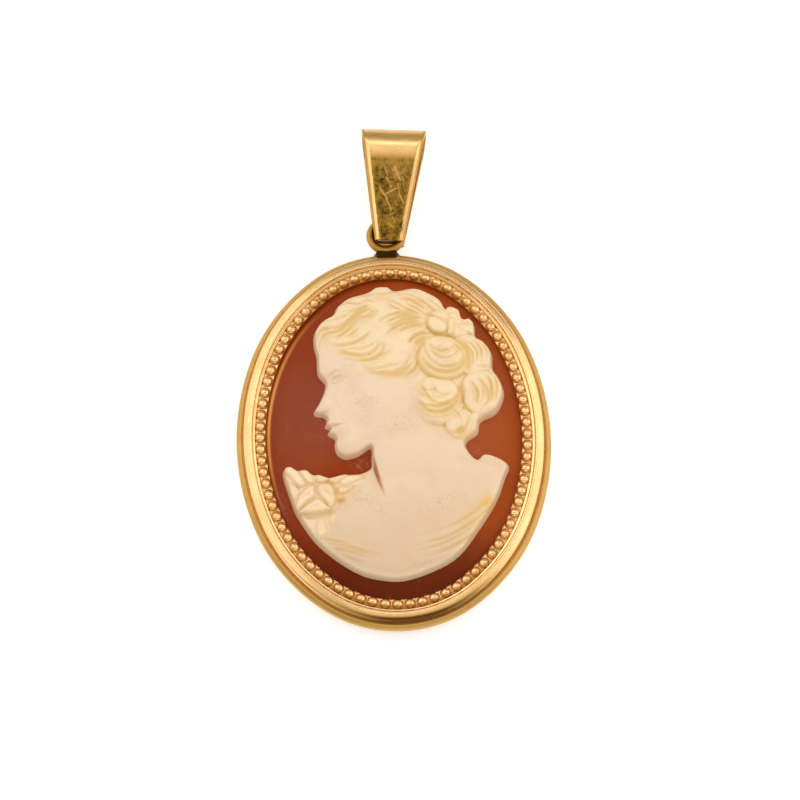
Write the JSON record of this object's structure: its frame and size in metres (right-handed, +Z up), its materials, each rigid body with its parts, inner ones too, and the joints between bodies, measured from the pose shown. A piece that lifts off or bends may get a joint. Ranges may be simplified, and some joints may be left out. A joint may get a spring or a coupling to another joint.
{
  "type": "cameo pendant",
  "caption": "Oval shell cameo with a raised bust in profile, in a gold setting with a beaded border, on a tapered folded bail.",
  "frame": {"origin": "on the ground under the middle of the pendant's whole length, as it lies on its back", "axes": "+Z up, out of the face of the cameo; +Y along the oval's long axis towards the bail; +X to the right as the cameo is seen"},
  "size_m": [0.0252, 0.0438, 0.0051],
  "materials": {
    "gold": "polished yellow gold with fine wear; brass stands in for gold",
    "shell": "carved shell, cream relief on a polished orange-brown ground; stone stands in for shell"
  },
  "bodies": {
    "root": {"frame": "gold", "bail": "gold", "cameo": "shell"}
  },
  "joints": []
}
